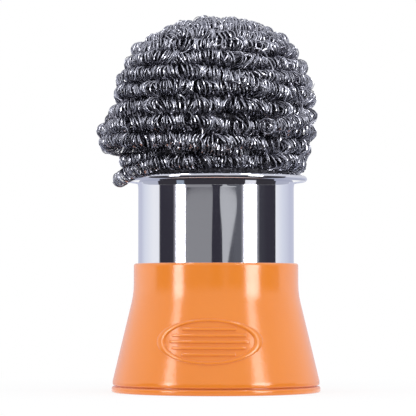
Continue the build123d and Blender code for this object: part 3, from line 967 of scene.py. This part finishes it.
# panels before the surround: name, tone, and rows of a height in mm with the left and right edge in degrees
panels = (
    ("greyPanel", "#909092", (
        (-40, -44.5, -5.5), (40, -44.5, -6.2), (56, -44, -6), (70, -44, -5.2), (77, -43, -4.6),
        (80, -40.5, -4.6), (81.8, -35, -5.5), (82.6, -26, -8), (83, -14, -10),
    )),
    ("palePanel", "#bcbdbf", (
        (-40, 9.5, 15), (30, 9.5, 15.5), (44, 9.3, 16.5), (50, 9, 19), (57, 8.8, 22.5), (63, 8.4, 25.5),
        (70, 6.5, 29), (76, 5.5, 30.5), (80, 5.5, 27), (82.5, 6, 20), (84, 7, 14), (84.6, 8, 11),
    )),
)


def plainGlow(name, colour):
    material, tree = startMaterial(name)
    shader = addNode(tree, "ShaderNodeEmission", {"Color": toLinear(colour), "Strength": 1.0})
    addNode(tree, "ShaderNodeOutputMaterial", links={"Surface": shader.outputs["Emission"]})
    return material


def makeCard(name, corners, faces, material):
    # only mirror rays meet a card, so it neither shows nor shades the scene
    selectNothing()
    bpy.ops.mesh.primitive_plane_add(size=1, location=(0, 0, 0))
    card = bpy.context.object
    card.name = name
    card.data.clear_geometry()
    card.data.from_pydata(corners, [], faces)
    card.data.materials.append(material)
    card.visible_camera = False
    card.visible_diffuse = False
    card.visible_shadow = False
    return card


def roundCamera(angle, radius, height):
    # a spot round the object, its angle counted from the camera to the right
    turn = math.radians(angle + camera["azimuth"])
    return (radius * math.sin(turn), -radius * math.cos(turn), height)


def bandFaces(count):
    # between two rows of as many corners
    return [(n, n + 1, n + 1 + count, n + count) for n in range(count - 1)]


def makeSurround():
    s = studio
    angles = np.linspace(-180, 180, s["surroundSteps"])
    stops = [stop for stop, _ in surroundStops]
    colours = np.array([toLinear(tones[tone]) for _, tone in surroundStops])
    corners = [
        roundCamera(angle, s["surroundRadius"], z) for z in (0.0, s["surroundTop"]) for angle in angles
    ]
    faces = bandFaces(len(angles))
    material, tree = startMaterial("surroundTones")
    tone = addNode(tree, "ShaderNodeAttribute", {"attribute_name": "tone"})
    shader = addNode(tree, "ShaderNodeEmission", {"Strength": 1.0}, {"Color": tone.outputs["Color"]})
    addNode(tree, "ShaderNodeOutputMaterial", links={"Surface": shader.outputs["Emission"]})
    card = makeCard("surround", corners, faces, material)
    shades = np.stack([np.interp(angles, stops, colours[:, channel]) for channel in range(4)], axis=1)
    toneMap = card.data.attributes.new("tone", "FLOAT_COLOR", "POINT")
    toneMap.data.foreach_set("color", np.tile(shades, (2, 1)).astype(np.float32).ravel())


def makePanel(name, tone, rows, count=9):
    corners = [
        roundCamera(angle, studio["radius"], height * mm)
        for height, left, right in rows for angle in np.linspace(left, right, count)
    ]
    faces = [
        tuple(count * row + corner for corner in face)
        for row in range(len(rows) - 1) for face in bandFaces(count)
    ]
    makeCard(name, corners, faces, plainGlow(name + "Tone", tone))


def makeTableCard(name, start, end, inner, outer, height, tone):
    # the dark table in front and the pale one at the sides, which the lip's underside mirrors, and the
    # shine of a box on it
    angles = np.linspace(start, end, max(2, round((end - start) / studio["tableStep"])))
    corners = [roundCamera(angle, radius, height * mm) for radius in (inner, outer) for angle in angles]
    makeCard(name, corners, bandFaces(len(angles)), plainGlow(name + "Tone", tone))


def makeCeiling():
    # a grey ceiling over the surround, so that only the lamps glint in the wire
    s = studio
    angles = np.linspace(-180, 180, s["ceilingSteps"])
    count = len(angles)
    levels = (s["surroundTop"], s["ceilingTop"])
    corners = [roundCamera(angle, s["surroundRadius"], z) for z in levels for angle in angles]
    corners.append((0, 0, s["ceilingTop"]))
    faces = bandFaces(count) + [(n + count, n + 1 + count, 2 * count) for n in range(count - 1)]
    makeCard("ceiling", corners, faces, plainGlow("ceilingTone", s["ceiling"]))


def addLamp(name, place, target, width, height, strength):
    # a soft box, even all over, that faces the axis at the target's height
    bpy.ops.object.light_add(type="AREA", location=place)
    lamp = bpy.context.object
    lamp.name = name
    lamp.data.shape = "RECTANGLE"
    lamp.data.size, lamp.data.size_y = width, height
    lamp.data.energy = strength * math.pi * width * height
    lamp.rotation_euler = (Vector((0, 0, target)) - place).to_track_quat("-Z", "Y").to_euler()
    lamp.visible_camera = False
    return lamp


def makeTopLamp(name, angle, strength):
    # a small lamp above the surround, which glints in the wire
    s = studio
    rise = math.radians(s["topRise"])
    height = s["topTarget"] + s["topDistance"] * math.sin(rise)
    place = Vector(roundCamera(angle, s["topDistance"] * math.cos(rise), height))
    addLamp(name, place, s["topTarget"], s["topSize"], s["topSize"], strength)


def makeFill(name, angle, strength):
    # a broad lamp for plain light, which no polished face mirrors
    s = studio
    place = Vector(roundCamera(angle, s["fillDistance"], s["fillHeight"]))
    addLamp(name, place, s["fillTarget"], s["fillSize"], s["fillSize"], strength).visible_glossy = False


def makeBox(name, start, end, lowest, highest, strength):
    # a tall box for the bright bands on steel and plastic, which adds no plain light
    s = studio
    middle = (lowest + highest) / 2
    place = Vector(roundCamera((start + end) / 2, s["radius"], middle))
    width = 2 * s["radius"] * math.tan(math.radians(end - start) / 2)
    addLamp(name, place, middle, width, highest - lowest, strength).visible_diffuse = False


def raysForWhite(tree):
    # 1 for what the camera sees straight or in a mirror
    path = addNode(tree, "ShaderNodeLightPath")
    seen = addNode(tree, "ShaderNodeMath", {"operation": "MAXIMUM"})
    tree.links.new(path.outputs["Is Camera Ray"], seen.inputs[0])
    tree.links.new(path.outputs["Is Glossy Ray"], seen.inputs[1])
    return path, seen.outputs["Value"]


def makeFloor():
    # white all over for the camera; near the object a part of the lit floor shows, which keeps its shadow
    look = floorLook
    selectNothing()
    bpy.ops.mesh.primitive_plane_add(size=look["size"], location=(0, 0, -look["drop"] * mm))
    floor = bpy.context.object
    floor.name = "floor"
    material, tree = startMaterial("paleFloor")
    _, seen = raysForWhite(tree)
    place = addNode(tree, "ShaderNodeTexCoord").outputs["Object"]
    away = addNode(tree, "ShaderNodeVectorMath", {"operation": "LENGTH"}, {"Vector": place})
    share = addNode(
        tree, "ShaderNodeMapRange",
        {"From Min": look["shadowFrom"], "From Max": look["shadowTo"], "To Min": look["nearGlow"]},
        {"Value": away.outputs["Value"]},
    )
    # light that bounces under the cap meets a floor that glows a little too, as a lit white table does
    bounce = addNode(tree, "ShaderNodeMapRange", {"To Min": look["bounceGlow"]}, {"Value": seen})
    part = addNode(tree, "ShaderNodeMath", {"operation": "MULTIPLY"})
    tree.links.new(bounce.outputs["Result"], part.inputs[0])
    tree.links.new(share.outputs["Result"], part.inputs[1])
    matte = addNode(tree, "ShaderNodeBsdfDiffuse", {"Color": toLinear(look["tone"])})
    glow = addNode(tree, "ShaderNodeEmission", {"Color": (1, 1, 1, 1), "Strength": 1.0})
    both = addNode(tree, "ShaderNodeMixShader", links={"Fac": part.outputs["Value"]})
    tree.links.new(matte.outputs["BSDF"], both.inputs[1])
    tree.links.new(glow.outputs["Emission"], both.inputs[2])
    addNode(tree, "ShaderNodeOutputMaterial", links={"Surface": both.outputs["Shader"]})
    floor.data.materials.append(material)


def makeWorld():
    # white for the camera and in mirrors, and a little dimmer as light on the object
    world = bpy.data.worlds.new("paleSurround")
    world.use_nodes = True
    tree = world.node_tree
    tree.nodes.clear()
    path, seen = raysForWhite(tree)
    both = addNode(tree, "ShaderNodeMath", {"operation": "MAXIMUM"})
    tree.links.new(seen, both.inputs[0])
    tree.links.new(path.outputs["Is Transmission Ray"], both.inputs[1])
    dim = addNode(tree, "ShaderNodeBackground", {"Color": toLinear(worldTone), "Strength": worldStrength})
    white = addNode(tree, "ShaderNodeBackground", {"Color": (1, 1, 1, 1), "Strength": 1.0})
    mix = addNode(tree, "ShaderNodeMixShader", links={"Fac": both.outputs["Value"]})
    tree.links.new(dim.outputs["Background"], mix.inputs[1])
    tree.links.new(white.outputs["Background"], mix.inputs[2])
    addNode(tree, "ShaderNodeOutputWorld", links={"Surface": mix.outputs["Shader"]})
    bpy.context.scene.world = world


makeFloor()
makeWorld()
makeSurround()
for tableCard in studio["tableCards"]:
    makeTableCard(*tableCard)
makeCeiling()
for topLamp in studio["topLamps"]:
    makeTopLamp(*topLamp)
for panel in panels:
    makePanel(*panel)
for fill in studio["fills"]:
    makeFill(*fill)
for box in studio["boxes"]:
    makeBox(*box)
bpy.context.scene.view_settings.view_transform = "Standard"
print("studio set")
